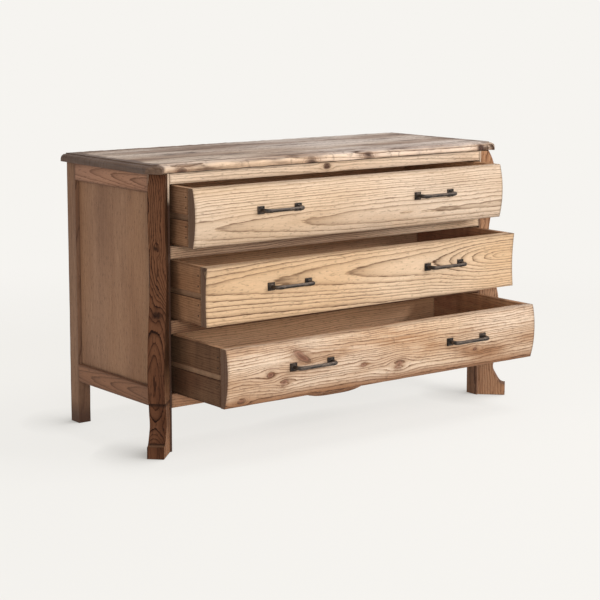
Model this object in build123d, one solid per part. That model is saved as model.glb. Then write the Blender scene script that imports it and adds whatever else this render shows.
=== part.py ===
from build123d import *
from collections import namedtuple
import math
import os

# Units are millimetres, +Z is up and the drawers open towards -Y.
# While building, y = 0 is the front plane of the rails; export moves every
# piece so that the finished bounding box is centred over the origin.

# Carcass
HEIGHT = 795.0
TOP_THICK = 26.0
TOP_REAR = (635.0, 476.0)
TOP_EAR_OUTER = (643.0, 9.0)
TOP_EAR_INNER = (609.0, -26.0)
TOP_EAR_ROOT = (586.0, -3.0)
MOULD_INSET = 18.0
MOULD_QUIRK = 2.6
MOULD_STEP = 2.0
MOULD_ROUND = 1.4

SIDE_X = 610.0
BACK_Y = 483.0
POST_INNER_X = 570.0
FRONT_POST_DEPTH = 46.0
POST_CHAMFER = 34.0
REAR_POST_FRONT_Y = 436.0
EDGE = 1.0

FRAME_TOP = HEIGHT - TOP_THICK
SIDE_RAIL_THICK = 22.0
SIDE_TOP_RAIL_Z = 717.5
SIDE_LOW_RAIL_Z = (125.0, 176.5)
PANEL_RECESS = 12.0
PANEL_THICK = 14.0
TONGUE_THICK = 6.0
TONGUE_DEPTH = 8.0
GROOVE_PLAY = 0.2
OVERCUT = 10.0

RAIL_DEPTH = 44.0
TOP_RAIL_Z = 739.0
RAIL_1_Z = (534.5, 571.0)
RAIL_2_Z = (328.0, 366.5)
APRON_TOP_Z = 161.5
APRON_EDGE_Z = 123.0
APRON_DROP_Z = 83.0
APRON_THICK = 24.0
APRON_CURVE = ((0.0, APRON_DROP_Z), (72.0, 86.0), (112.0, 96.0), (150.0, 110.0),
               (235.0, APRON_EDGE_Z))

BACK_RAIL_Y = (446.0, 466.0)
BACK_RAIL_HEIGHT = 50.0
BACK_PANEL_THICK = 8.0
BACK_BOARDS = 6
BACK_VEE = 3.0

# Diagonal pilasters: reach along the 45 degree diagonal against height
PILASTER_WIDTH = POST_CHAMFER * math.sqrt(2)
PILASTER_FOOT = ((84.0, 0.0), (84.0, 35.0))
PILASTER_HOLLOW = ((84.0, 35.0), (56.0, 58.0), (46.0, 80.0), (50.5, 111.0), (57.0, 148.0))
PILASTER_LEDGE = (63.0, 148.0)
PILASTER_BOMBE = (PILASTER_LEDGE, (66.0, 236.0), (57.0, 318.0), (36.0, 412.0), (25.0, 490.0),
                  (32.0, 562.0), (44.0, 652.0), (38.0, 728.0), (21.0, FRAME_TOP))
HOLLOW_TANGENTS = ((-1.0, -0.12), (0.2, 1.0))
BOMBE_TANGENTS = ((0.12, 1.0), (-0.52, 1.0))

# Drawers: underside of the front, photographed opening, offsets of the front
# face at its bottom, middle and top, and plane of the front's back
FRONT_HEIGHT = 161.5
Drawer = namedtuple("Drawer", "name low opening face back")
DRAWERS = (
    Drawer("drawer_1", 574.3, 99.0, (0.0, -12.5, 0.0), 21.0),
    Drawer("drawer_2", 369.7, 165.0, (3.4, 7.3, 0.0), 31.0),
    Drawer("drawer_3", 163.2, 249.0, (7.0, -9.0, 0.0), 25.0),
)
DRAWER_HALF_WIDTH = 563.0
DRAWER_LENGTH = 440.0
SIDE_THICK = 18.0
SIDE_RAISED = 2.0
BACK_THICK = 16.0
BACK_LOWER = 12.0
BOTTOM_THICK = 6.0
BOTTOM_RAISED = 15.0
BOTTOM_TONGUE = 6.0
BOTTOM_PLAY = 0.3

# Side-hung wooden runners
GROOVE_HEIGHT = 17.0
GROOVE_DEPTH = 8.5
RUNNER_REACH = 6.5
RUNNER_TOP_PLAY = 0.5
RUNNER_LOW_PLAY = 1.1
RUNNER_FRONT_Y = 33.5
RUNNER_SCREW_Y = (39.8, 452.0)

# Pulls
PULL_CENTRES = 128.0
PULL_X = 283.5
PULL_ABOVE_MIDDLE = 9.0
PULL_BAR = 4.6
PULL_SIDES = 8
PULL_REACH = 27.0
PULL_BEND = 15.0
PULL_BEND_STEPS = 4
ROSETTE = 22.0
ROSETTE_THICK = 4.0
ROSETTE_BEVEL = 1.6
SEAT_DEPTH = 0.8
SEAT_PLAY = 0.2
SEAT_REACH = 30.0

# Screws
SCREW_D = 4.0
SCREW_SIDES = 8
SCREW_TIP = 4.0
SCREW_TIP_TAPER = 22.0
SCREW_PLAY = 0.3
PILOT_SPARE = 1.0
PULL_SCREW_BITE = 9.0
PAN_D = 8.6
PAN_H = 2.8
PAN_BEVEL = 1.2
FLAT_D = 8.0
CLEAT_SIZE = (21.0, 24.0)
CLEAT_Y = (60.0, 422.0)
CLEAT_SCREW_Y = (90.0, 241.0, 392.0)
CLEAT_SCREW_BITE = 16.0
RUNNER_SCREW_BITE = 14.0
BACK_SCREW_BITE = 14.0

SIDES = {"left": -1.0, "right": 1.0}


def block(x, y, z):
    """Box given by its (low, high) limits on each axis."""
    size = Box(x[1] - x[0], y[1] - y[0], z[1] - z[0])
    return Pos((x[0] + x[1]) / 2, (y[0] + y[1]) / 2, (z[0] + z[1]) / 2) * size


def on_side(sign, near, far):
    """Limits along X of something |near| to |far| from the middle."""
    return (near, far) if sign > 0 else (-far, -near)


def eased(solid, axis):
    """Take the arris off the edges that run along one axis."""
    return chamfer(solid.edges().filter_by(axis), EDGE)


def prism(radius, sides, low, high):
    """Upright prism on the Z axis, for small round pieces."""
    return extrude(Pos(0, 0, low) * RegularPolygon(radius, sides), high - low)


def pilot(low, high):
    """Screw hole along Z."""
    return prism(SCREW_D / 2 + SCREW_PLAY / 2, SCREW_SIDES, low, high)


def top_edge():
    """Moulded edge of the top from the rear left corner round to the rear right."""
    right = [TOP_EAR_ROOT, TOP_EAR_INNER, TOP_EAR_OUTER, TOP_REAR]
    left = [(-x, y) for x, y in reversed(right)]
    return [Vector(x, y, 0) for x, y in left + right]


def inward_normals(points):
    steps = [(end - start).normalized() for start, end in zip(points[:-1], points[1:])]
    return [Vector(-step.Y, step.X, 0) for step in steps]


def mitres(points):
    """Shift of each corner when the edge moves inwards by one millimetre."""
    normals = inward_normals(points)
    inner = [(a + b) / (1 + a.dot(b)) for a, b in zip(normals[:-1], normals[1:])]
    return [normals[0]] + inner + [normals[-1]]


def moulding_waste(start, end, shift_start, shift_end):
    """Waste outside the thumbnail moulding of one edge, cut to its mitres."""
    along = (end - start).normalized()
    inward = Vector(-along.Y, along.X, 0)
    overrun = 3 * MOULD_INSET
    base = start - along * overrun + Vector(0, 0, FRAME_TOP)
    plane = Plane(origin=base, x_dir=inward, z_dir=along)
    shelf = MOULD_INSET - MOULD_STEP
    quirk_z = TOP_THICK - MOULD_QUIRK
    lip_z = quirk_z - shelf
    above = TOP_THICK + MOULD_INSET
    outline = Curve() + [
        Polyline((MOULD_INSET, above), (MOULD_INSET, quirk_z), (shelf, quirk_z)),
        RadiusArc((shelf, quirk_z), (0, lip_z), -shelf),
        Polyline((0, lip_z), (0, MOULD_ROUND), (MOULD_ROUND, 0), (MOULD_ROUND, -MOULD_INSET)),
        Polyline((MOULD_ROUND, -MOULD_INSET), (-MOULD_INSET, -MOULD_INSET), (-MOULD_INSET, above),
                 (MOULD_INSET, above)),
    ]
    strip = extrude(plane * make_face(outline.edges()), (end - start).length + 2 * overrun)
    reach = MOULD_INSET + 1
    corners = [start + shift_start * reach, end + shift_end * reach,
               end - shift_end * reach, start - shift_start * reach]
    wedge = make_face(Polyline(*corners, close=True))
    return strip & extrude(Pos(0, 0, FRAME_TOP - MOULD_INSET) * wedge, 3 * TOP_THICK)


def make_top():
    points = top_edge()
    shifts = mitres(points)
    slab = extrude(Pos(0, 0, FRAME_TOP) * make_face(Polyline(*points, close=True)), TOP_THICK)
    # The cutter runs on past the rear corners, so that the moulding ends square there
    path = [points[0] * 2 - points[1], *points[1:-1], points[-1] * 2 - points[-2]]
    for index in range(len(path) - 1):
        slab -= moulding_waste(path[index], path[index + 1], shifts[index], shifts[index + 1])
    for x, y in cleat_screw_places():
        slab -= Pos(x, y, FRAME_TOP) * pilot(0, CLEAT_SCREW_BITE + PILOT_SPARE)
    return slab


def panel_limits():
    outer = SIDE_X - PANEL_RECESS
    middle = outer - PANEL_THICK / 2
    return outer - PANEL_THICK, outer, middle


def panel_grooves(sign):
    """Groove ring for the tongue of one side panel."""
    middle = panel_limits()[2]
    half = TONGUE_THICK / 2 + GROOVE_PLAY / 2
    reach = TONGUE_DEPTH + GROOVE_PLAY
    x = on_side(sign, middle - half, middle + half)
    y = (FRONT_POST_DEPTH - reach, REAR_POST_FRONT_Y + reach)
    z = (SIDE_LOW_RAIL_Z[1] - reach, SIDE_TOP_RAIL_Z + reach)
    return block(x, y, z)


def groove_z(drawer):
    return drawer.low + FRONT_HEIGHT / 2 - GROOVE_HEIGHT / 2


def runner_z(drawer):
    groove = groove_z(drawer)
    return groove + RUNNER_LOW_PLAY, groove + GROOVE_HEIGHT - RUNNER_TOP_PLAY


def runner_screw_places(sign):
    for drawer in DRAWERS:
        low, high = runner_z(drawer)
        for y in RUNNER_SCREW_Y:
            yield sign, y, (low + high) / 2


def runner_screw_place(sign, y, z):
    """Screw frame on a runner's face, its Z pointing into the post."""
    return Pos(sign * runner_face_x(), y, z) * Rot(0, sign * 90, 0)


def runner_screw_holes(sign):
    depth = POST_INNER_X - runner_face_x() + RUNNER_SCREW_BITE + PILOT_SPARE
    return [runner_screw_place(side, y, z) * pilot(0, depth) for side, y, z in runner_screw_places(sign)]


def make_front_post(sign):
    outline = Polyline((POST_INNER_X, 0), (SIDE_X - POST_CHAMFER, 0), (SIDE_X, POST_CHAMFER),
                       (SIDE_X, FRONT_POST_DEPTH), (POST_INNER_X, FRONT_POST_DEPTH), close=True)
    post = extrude(make_face(outline), FRAME_TOP)
    inner = post.edges().filter_by(Axis.Z).sort_by(Axis.X)[:2]
    post = chamfer(inner, EDGE)
    if sign < 0:
        post = mirror(post, Plane.YZ)
    post -= panel_grooves(sign)
    for hole in runner_screw_holes(sign):
        post -= hole
    return post


def make_rear_post(sign):
    x = on_side(sign, POST_INNER_X, SIDE_X)
    post = eased(block(x, (REAR_POST_FRONT_Y, BACK_Y), (0, FRAME_TOP)), Axis.Z)
    post -= panel_grooves(sign)
    for hole in runner_screw_holes(sign):
        post -= hole
    return post


def make_pilaster(sign):
    outline = Curve() + [
        Polyline((0, 0), PILASTER_FOOT[0], PILASTER_FOOT[1]),
        Spline(*PILASTER_HOLLOW, tangents=HOLLOW_TANGENTS),
        Line(PILASTER_HOLLOW[-1], PILASTER_LEDGE),
        Spline(*PILASTER_BOMBE, tangents=BOMBE_TANGENTS),
        Polyline((PILASTER_BOMBE[-1][0], FRAME_TOP), (0, FRAME_TOP), (0, 0)),
    ]
    origin = Vector(SIDE_X - POST_CHAMFER / 2, POST_CHAMFER / 2, 0)
    outward = Vector(1, -1, 0).normalized()
    plane = Plane(origin=origin, x_dir=outward, z_dir=outward.cross(Vector(0, 0, 1)))
    board = extrude(plane * make_face(outline.edges()), PILASTER_WIDTH / 2, both=True)
    return board if sign > 0 else mirror(board, Plane.YZ)


def make_side_rail(sign, z):
    x = on_side(sign, SIDE_X - SIDE_RAIL_THICK, SIDE_X)
    rail = eased(block(x, (FRONT_POST_DEPTH, REAR_POST_FRONT_Y), z), Axis.Y)
    return rail - panel_grooves(sign)


def make_side_panel(sign):
    near, far, middle = panel_limits()
    y = (FRONT_POST_DEPTH, REAR_POST_FRONT_Y)
    z = (SIDE_LOW_RAIL_Z[1], SIDE_TOP_RAIL_Z)
    field = block(on_side(sign, near, far), y, z)
    half = TONGUE_THICK / 2
    tongue_y = (y[0] - TONGUE_DEPTH, y[1] + TONGUE_DEPTH)
    tongue_z = (z[0] - TONGUE_DEPTH, z[1] + TONGUE_DEPTH)
    return field + block(on_side(sign, middle - half, middle + half), tongue_y, tongue_z)


def make_front_rail(z):
    return eased(block((-POST_INNER_X, POST_INNER_X), (0, RAIL_DEPTH), z), Axis.X)


def make_apron():
    right = Curve() + [
        Spline(*APRON_CURVE, tangents=((1, 0), (1, 0))),
        Polyline(APRON_CURVE[-1], (POST_INNER_X, APRON_EDGE_Z), (POST_INNER_X, APRON_TOP_Z),
                 (0, APRON_TOP_Z), APRON_CURVE[0]),
    ]
    half = extrude(Plane.XZ * make_face(right.edges()), -APRON_THICK)
    return half + mirror(half, Plane.YZ)


def make_back_rail(z):
    rail = block((-POST_INNER_X, POST_INNER_X), BACK_RAIL_Y, z)
    for place in back_screw_places():
        rail -= place * pilot(0, BACK_PANEL_THICK + BACK_SCREW_BITE + PILOT_SPARE)
    return rail


def back_rail_limits():
    low = SIDE_LOW_RAIL_Z[0]
    return (low, low + BACK_RAIL_HEIGHT), (FRAME_TOP - BACK_RAIL_HEIGHT, FRAME_TOP)


def back_screw_places():
    """Screw frames on the back's face, their Z pointing into the rails."""
    width = 2 * POST_INNER_X / BACK_BOARDS
    y = BACK_RAIL_Y[1] + BACK_PANEL_THICK
    for low, high in back_rail_limits():
        for index in range(BACK_BOARDS):
            x = -POST_INNER_X + width * (index + 0.5)
            yield Pos(x, y, (low + high) / 2) * Rot(90, 0, 0)


def make_back_panel():
    """Boards butted side by side, with a vee where two boards meet."""
    y = (BACK_RAIL_Y[1], BACK_RAIL_Y[1] + BACK_PANEL_THICK)
    panel = block((-POST_INNER_X, POST_INNER_X), y, (SIDE_LOW_RAIL_Z[0], FRAME_TOP))
    width = 2 * POST_INNER_X / BACK_BOARDS
    for index in range(1, BACK_BOARDS):
        x = -POST_INNER_X + width * index
        vee = Polyline((x - BACK_VEE, y[1]), (x + BACK_VEE, y[1]), (x, y[1] - BACK_VEE), close=True)
        panel -= extrude(make_face(vee), HEIGHT)
    for place in back_screw_places():
        panel -= place * pilot(0, BACK_PANEL_THICK)
    return panel


def screw_shank(length):
    straight = prism(SCREW_D / 2, SCREW_SIDES, 0, length - SCREW_TIP)
    base = Pos(0, 0, length - SCREW_TIP) * RegularPolygon(SCREW_D / 2, SCREW_SIDES)
    return straight + extrude(base, SCREW_TIP, taper=SCREW_TIP_TAPER)


def pan_screw(length):
    """Screw along +Z: head below z = 0, point at z = length."""
    head = prism(PAN_D / 2, SCREW_SIDES, -PAN_H, 0)
    head = chamfer(head.faces().sort_by(Axis.Z)[0].edges(), PAN_BEVEL)
    return head + screw_shank(length)


def flat_head(radius):
    """Countersunk head, widest at z = 0."""
    depth = radius - SCREW_D / 2
    return extrude(RegularPolygon(radius, SCREW_SIDES), depth, taper=45)


def flat_screw(length):
    """Countersunk screw along +Z with its head flush at z = 0."""
    return flat_head(FLAT_D / 2) + screw_shank(length)


def make_back_screws():
    screw = pan_screw(BACK_PANEL_THICK + BACK_SCREW_BITE)
    return Compound([place * screw for place in back_screw_places()])


def cleat_x(sign):
    outer = SIDE_X - SIDE_RAIL_THICK
    return on_side(sign, outer - CLEAT_SIZE[0], outer)


def cleat_screw_places():
    for sign in SIDES.values():
        for y in CLEAT_SCREW_Y:
            yield sum(cleat_x(sign)) / 2, y


def make_cleat(sign):
    cleat = block(cleat_x(sign), CLEAT_Y, (FRAME_TOP - CLEAT_SIZE[1], FRAME_TOP))
    for x, y in cleat_screw_places():
        cleat -= Pos(x, y, FRAME_TOP) * pilot(-CLEAT_SIZE[1], 0)
    return cleat


def make_cleat_screws():
    screw = pan_screw(CLEAT_SIZE[1] + CLEAT_SCREW_BITE)
    return Compound([Pos(x, y, FRAME_TOP - CLEAT_SIZE[1]) * screw for x, y in cleat_screw_places()])


def runner_face_x():
    return DRAWER_HALF_WIDTH - RUNNER_REACH


def make_runner(sign, drawer):
    x = on_side(sign, runner_face_x(), POST_INNER_X)
    z = runner_z(drawer)
    runner = block(x, (RUNNER_FRONT_Y, BACK_RAIL_Y[1]), z)
    tip = runner.edges().filter_by(Axis.Y).sort_by(Axis.X, reverse=sign < 0)[:2]
    runner = chamfer(tip, EDGE)
    sink = flat_head(FLAT_D / 2 + SCREW_PLAY / 2)
    for y in RUNNER_SCREW_Y:
        place = runner_screw_place(sign, y, (z[0] + z[1]) / 2)
        runner -= place * (sink + pilot(0, POST_INNER_X))
    return runner


def make_runner_screws():
    screw = flat_screw(POST_INNER_X - runner_face_x() + RUNNER_SCREW_BITE)
    places = []
    for sign in SIDES.values():
        places += [runner_screw_place(side, y, z) for side, y, z in runner_screw_places(sign)]
    return Compound([place * screw for place in places])


def face_arc(drawer):
    bottom, middle, top = drawer.face
    heights = drawer.low, drawer.low + FRONT_HEIGHT / 2, drawer.low + FRONT_HEIGHT
    return ThreePointArc((bottom, heights[0]), (middle, heights[1]), (top, heights[2]))


def pull_z(drawer):
    return drawer.low + FRONT_HEIGHT / 2 + PULL_ABOVE_MIDDLE


def seat_y(drawer):
    """Flat seat of the rosettes, cut a little into the curved face."""
    arc = face_arc(drawer)
    level = Line((-SEAT_REACH, pull_z(drawer)), (SEAT_REACH, pull_z(drawer)))
    hit = arc.find_intersection_points(level)[0]
    return hit.X + SEAT_DEPTH


def pull_ends():
    for centre in (-PULL_X, PULL_X):
        for shift in (-PULL_CENTRES / 2, PULL_CENTRES / 2):
            yield centre + shift


def pull_screw_place(drawer, x):
    """Screw frame on the inside of the front, its Z pointing out of the front."""
    return Pos(x, drawer.back, pull_z(drawer)) * Rot(90, 0, 0)


def bottom_z(drawer):
    low = drawer.low + SIDE_RAISED + BOTTOM_RAISED
    return low, low + BOTTOM_THICK


def bottom_limits(drawer, play):
    """Bottom board with its tongues, enlarged by the groove play."""
    half = DRAWER_HALF_WIDTH - SIDE_THICK + BOTTOM_TONGUE + play
    y = (drawer.back - BOTTOM_TONGUE - play, DRAWER_LENGTH - BACK_THICK + BOTTOM_TONGUE + play)
    z = bottom_z(drawer)
    return block((-half, half), y, (z[0] - play / 2, z[1] + play / 2))


def make_drawer_front(drawer):
    arc = face_arc(drawer)
    low, high, back = drawer.low, drawer.low + FRONT_HEIGHT, drawer.back
    outline = Curve() + [arc, Polyline(arc @ 1, (back, high), (back, low), arc @ 0)]
    section = make_face(outline.edges())
    section = chamfer(section.vertices().sort_by(Axis.X)[:2], EDGE)
    front = extrude(Plane.YZ.offset(-DRAWER_HALF_WIDTH) * section, 2 * DRAWER_HALF_WIDTH)
    seat = seat_y(drawer)
    z = pull_z(drawer)
    half = ROSETTE / 2 + SEAT_PLAY
    for x in pull_ends():
        front -= block((x - half, x + half), (seat - SEAT_REACH, seat), (z - half, z + half))
        front -= pull_screw_place(drawer, x) * pilot(0, back - seat)
    return front - bottom_limits(drawer, BOTTOM_PLAY)


def make_drawer_side(sign, drawer):
    low, back = drawer.low, drawer.back
    z = (low + SIDE_RAISED, low + FRONT_HEIGHT)
    inner = DRAWER_HALF_WIDTH - SIDE_THICK
    side = block(on_side(sign, inner, DRAWER_HALF_WIDTH), (back, DRAWER_LENGTH), z)
    side = chamfer(side.edges().filter_by(Axis.Y).group_by(Axis.Z)[-1], EDGE)
    groove = groove_z(drawer)
    groove_x = on_side(sign, DRAWER_HALF_WIDTH - GROOVE_DEPTH, DRAWER_HALF_WIDTH + OVERCUT)
    side -= block(groove_x, (back, DRAWER_LENGTH + OVERCUT), (groove, groove + GROOVE_HEIGHT))
    return side - bottom_limits(drawer, BOTTOM_PLAY)


def make_drawer_back(drawer):
    inner = DRAWER_HALF_WIDTH - SIDE_THICK
    z = (drawer.low + SIDE_RAISED, drawer.low + FRONT_HEIGHT - BACK_LOWER)
    board = eased(block((-inner, inner), (DRAWER_LENGTH - BACK_THICK, DRAWER_LENGTH), z), Axis.X)
    return board - bottom_limits(drawer, BOTTOM_PLAY)


def pull_path():
    """Centre line of a pull: out from one end, round, along and back again."""
    half = PULL_CENTRES / 2
    shoulder = PULL_REACH - PULL_BEND
    turns = [math.radians(90 * step / PULL_BEND_STEPS) for step in range(PULL_BEND_STEPS + 1)]
    bend = [(PULL_BEND * (1 - math.cos(turn)) - half, -shoulder - PULL_BEND * math.sin(turn)) for turn in turns]
    other = [(-x, y) for x, y in reversed(bend)]
    return Polyline((-half, 0), *bend, *other, (half, 0))


def make_pull(drawer, centre):
    half = PULL_CENTRES / 2
    section = Plane(origin=(-half, 0, 0), z_dir=(0, -1, 0)) * RegularPolygon(PULL_BAR, PULL_SIDES)
    bar = sweep(section, path=pull_path(), transition=Transition.RIGHT)
    for x in (-half, half):
        bar -= Pos(x, 0, 0) * Rot(90, 0, 0) * pilot(0, PULL_SCREW_BITE + PILOT_SPARE)
    return Pos(centre, seat_y(drawer) - ROSETTE_THICK, pull_z(drawer)) * bar


def make_rosettes(drawer):
    plate = Box(ROSETTE, ROSETTE_THICK, ROSETTE)
    rim = plate.faces().sort_by(Axis.Y)[0].edges()
    plate = chamfer(rim, ROSETTE_BEVEL)
    plate -= Rot(90, 0, 0) * pilot(-ROSETTE_THICK, ROSETTE_THICK)
    y = seat_y(drawer) - ROSETTE_THICK / 2
    return Compound([Pos(x, y, pull_z(drawer)) * plate for x in pull_ends()])


def make_pull_screws(drawer):
    screw = pan_screw(drawer.back - seat_y(drawer) + ROSETTE_THICK + PULL_SCREW_BITE)
    return Compound([pull_screw_place(drawer, x) * screw for x in pull_ends()])


def carcass_nodes():
    nodes = {"top": make_top(), "apron": make_apron()}
    nodes["front_top_rail"] = make_front_rail((TOP_RAIL_Z, FRAME_TOP))
    nodes["front_rail_1"] = make_front_rail(RAIL_1_Z)
    nodes["front_rail_2"] = make_front_rail(RAIL_2_Z)
    low_rail, top_rail = back_rail_limits()
    nodes["back_low_rail"] = make_back_rail(low_rail)
    nodes["back_top_rail"] = make_back_rail(top_rail)
    nodes["back_panel"] = make_back_panel()
    nodes["back_screws"] = make_back_screws()
    for name, sign in SIDES.items():
        nodes["front_post_" + name] = make_front_post(sign)
        nodes["rear_post_" + name] = make_rear_post(sign)
        nodes["pilaster_" + name] = make_pilaster(sign)
        nodes["side_top_rail_" + name] = make_side_rail(sign, (SIDE_TOP_RAIL_Z, FRAME_TOP))
        nodes["side_low_rail_" + name] = make_side_rail(sign, SIDE_LOW_RAIL_Z)
        nodes["side_panel_" + name] = make_side_panel(sign)
        nodes["cleat_" + name] = make_cleat(sign)
        for drawer in DRAWERS:
            nodes["runner_" + drawer.name[-1] + "_" + name] = make_runner(sign, drawer)
    nodes["cleat_screws"] = make_cleat_screws()
    nodes["runner_screws"] = make_runner_screws()
    return nodes


def drawer_nodes(drawer):
    """One drawer, built closed and then drawn out as in the photograph."""
    pieces = {
        "front": make_drawer_front(drawer),
        "side_left": make_drawer_side(SIDES["left"], drawer),
        "side_right": make_drawer_side(SIDES["right"], drawer),
        "back": make_drawer_back(drawer),
        "bottom": bottom_limits(drawer, 0.0),
        "pull_left": make_pull(drawer, -PULL_X),
        "pull_right": make_pull(drawer, PULL_X),
        "rosettes": make_rosettes(drawer),
        "pull_screws": make_pull_screws(drawer),
    }
    drawn_out = Pos(0, -drawer.opening, 0)
    return {drawer.name + "_" + key: drawn_out * piece for key, piece in pieces.items()}


def main():
    os.makedirs("parts", exist_ok=True)
    nodes = carcass_nodes()
    for drawer in DRAWERS:
        nodes.update(drawer_nodes(drawer))
    whole = Compound(list(nodes.values())).bounding_box()
    y_shift = -(whole.min.Y + whole.max.Y) / 2
    for name, piece in nodes.items():
        export_step(Pos(0, y_shift, 0) * piece, "parts/" + name + ".step")
    print(len(nodes), "nodes, size", whole.size, "y shift", y_shift)


main()
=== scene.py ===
# %% [markdown]
# # A bow-fronted chest of drawers
# The chest arrives from CAD as separate boards, pulls and screws, already in place and in metres.
# This lesson keeps those boards where they are and gives them what CAD leaves out: sawn and brushed
# wood, forged iron, worn edges, light and a camera.

# %% Load the chest
import math
from types import SimpleNamespace

import bpy
from mathutils import Matrix, Vector


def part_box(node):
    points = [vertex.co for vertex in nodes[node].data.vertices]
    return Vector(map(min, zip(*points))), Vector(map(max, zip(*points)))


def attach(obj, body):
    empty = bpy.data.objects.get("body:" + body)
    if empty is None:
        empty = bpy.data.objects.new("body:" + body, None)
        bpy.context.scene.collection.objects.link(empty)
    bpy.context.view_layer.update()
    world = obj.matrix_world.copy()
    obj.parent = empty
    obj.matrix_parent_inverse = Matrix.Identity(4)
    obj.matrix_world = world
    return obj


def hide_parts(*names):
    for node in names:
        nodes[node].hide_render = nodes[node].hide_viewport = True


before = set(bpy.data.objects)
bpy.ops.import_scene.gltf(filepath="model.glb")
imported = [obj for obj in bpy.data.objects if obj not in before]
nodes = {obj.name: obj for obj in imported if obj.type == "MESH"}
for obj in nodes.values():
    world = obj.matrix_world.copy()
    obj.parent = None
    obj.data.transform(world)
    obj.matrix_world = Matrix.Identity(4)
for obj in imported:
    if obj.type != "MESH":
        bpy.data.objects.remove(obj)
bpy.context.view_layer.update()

# %% [markdown]
# ## Camera
# The photograph was taken with a long lens from the front left, a little above the top. A camera is
# aimed with two angles: it starts looking straight down, is tipped up from there, and is then turned
# about the vertical. The lens follows from the width of the chest in the picture.

# %% Set up the camera
CAMERA_PLACE = (-3.1323, -4.0269, 1.2478)
LOOKS_DOWN = 8.019
TURNED = -37.383

scene = bpy.context.scene
scene.view_settings.view_transform = "Standard"
camera_data = bpy.data.cameras.new("camera")
camera_data.lens = 104.8
camera_data.sensor_width = 36.0
camera_data.shift_y = -0.1
camera = bpy.data.objects.new("camera", camera_data)
camera.location = CAMERA_PLACE
camera.rotation_euler = (math.radians(90 - LOOKS_DOWN), 0, math.radians(TURNED))
scene.collection.objects.link(camera)
scene.camera = camera
print("camera at", CAMERA_PLACE, "lens", camera_data.lens)

# %% [markdown]
# ## Light
# Three disc lamps light the chest, as in a studio. The key lamp stands to the front right, so the
# fronts are bright and the left side is half in shade. It is small enough for drawers and pulls to
# throw shadows with an edge. A wider lamp on the left fills what the key leaves dark, and another
# lights the top. One sun lamp would be simpler, but its shadows would be equally hard everywhere.


# %% Hang three lamps
def lamp(name, place, aim, size, watts):
    """Disc lamp, size metres wide, turned towards the point aim."""
    data = bpy.data.lights.new(name, "AREA")
    data.shape = "DISK"
    data.size = size
    data.energy = watts
    thing = bpy.data.objects.new(name, data)
    thing.location = place
    thing.rotation_euler = (Vector(aim) - Vector(place)).to_track_quat("-Z", "Y").to_euler()
    scene.collection.objects.link(thing)
    print(name, watts, "W")


lamp("key_lamp", (2.6, -4.0, 1.7), aim=(0, -0.1, 0.4), size=0.7, watts=66)
lamp("fill_lamp", (-2.6, -4.9, 1.35), aim=(0, 0, 0.4), size=1.3, watts=95)
lamp("top_lamp", (1.2, -0.9, 3.3), aim=(0, 0, 0.5), size=1.6, watts=46)

# %% [markdown]
# ## Shader arithmetic
# Wood figure is a sum: distance from the heart of the tree, plus wobble, divided by ring width.
# Written as nodes that becomes a web of boxes, so a small class wraps one socket and lets plain
# Python operators add the Math nodes. Any other node is added by the same class through `make`.


# %% A wire that does sums
class Wire:
    """One output socket in a material; sums with it add Math nodes."""

    def __init__(self, tree, socket):
        self.tree = tree
        self.socket = socket

    def make(self, kind, settings, inputs, output=0):
        """Add any node: its settings first, then the values or wires of its sockets."""
        node = self.tree.nodes.new(kind)
        for key, value in settings.items():
            setattr(node, key, value)
        for key, value in inputs.items():
            if isinstance(value, Wire):
                self.tree.links.new(value.socket, node.inputs[key])
            else:
                node.inputs[key].default_value = value
        return Wire(self.tree, node.outputs[output])

    def math(self, operation, *values):
        """A Math node with this wire first."""
        return self.make("ShaderNodeMath", {"operation": operation}, dict(enumerate((self, *values))))

    def __add__(self, other):
        return self.math("ADD", other)

    __radd__ = __add__

    def __sub__(self, other):
        return self.math("SUBTRACT", other)

    def __rsub__(self, other):
        return self.make("ShaderNodeMath", {"operation": "SUBTRACT"}, {0: other, 1: self})

    def __mul__(self, other):
        return self.math("MULTIPLY", other)

    __rmul__ = __mul__

    def __truediv__(self, other):
        return self.math("DIVIDE", other)

    def smooth(self, start, end):
        """0 before start, 1 after end, an S curve between; start may be the larger."""
        settings = {"interpolation_type": "SMOOTHSTEP"}
        low, high = (start, end) if start < end else (end, start)
        rising = self.make("ShaderNodeMapRange", settings, {0: self, 1: low, 2: high, 3: 0.0, 4: 1.0})
        return rising if start < end else 1 - rising

    def mix(self, first, second, blend="MIX"):
        """Colour from first to second as this wire goes from 0 to 1."""
        settings = {"data_type": "RGBA", "blend_type": blend}
        return self.make("ShaderNodeMix", settings, {0: self, 6: first, 7: second}, output=2)

    def dot(self, direction):
        """How far this vector goes along a direction."""
        settings = {"operation": "DOT_PRODUCT"}
        return self.make("ShaderNodeVectorMath", settings, {0: self, 1: direction}, output=1)


print("wire methods:", [name for name in vars(Wire) if not name.startswith("_")])


# %% Start a material
def new_material(name):
    """Principled material, its shader node, and wires for where a point is and how it faces."""
    material = bpy.data.materials.new(name)
    material.use_nodes = True
    tree = material.node_tree
    shader = tree.nodes["Principled BSDF"]
    coordinates = tree.nodes.new("ShaderNodeTexCoord").outputs
    return material, shader, Wire(tree, coordinates["Object"]), Wire(tree, coordinates["Normal"])


def plug(wire, shader, socket):
    """Lead a wire into a socket of a shader node."""
    wire.tree.links.new(wire.socket, shader.inputs[socket])


def tone(*screen):
    """Screen colour, 0 to 255, as the linear colour that shader sockets take."""
    shares = [value / 255 for value in screen]
    linear = [share / 12.92 if share <= 0.04 else ((share + 0.055) / 1.055) ** 2.4 for share in shares]
    return (*linear, 1.0)


print("middle grey is", tone(128, 128, 128)[0], "in linear light")

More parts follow.
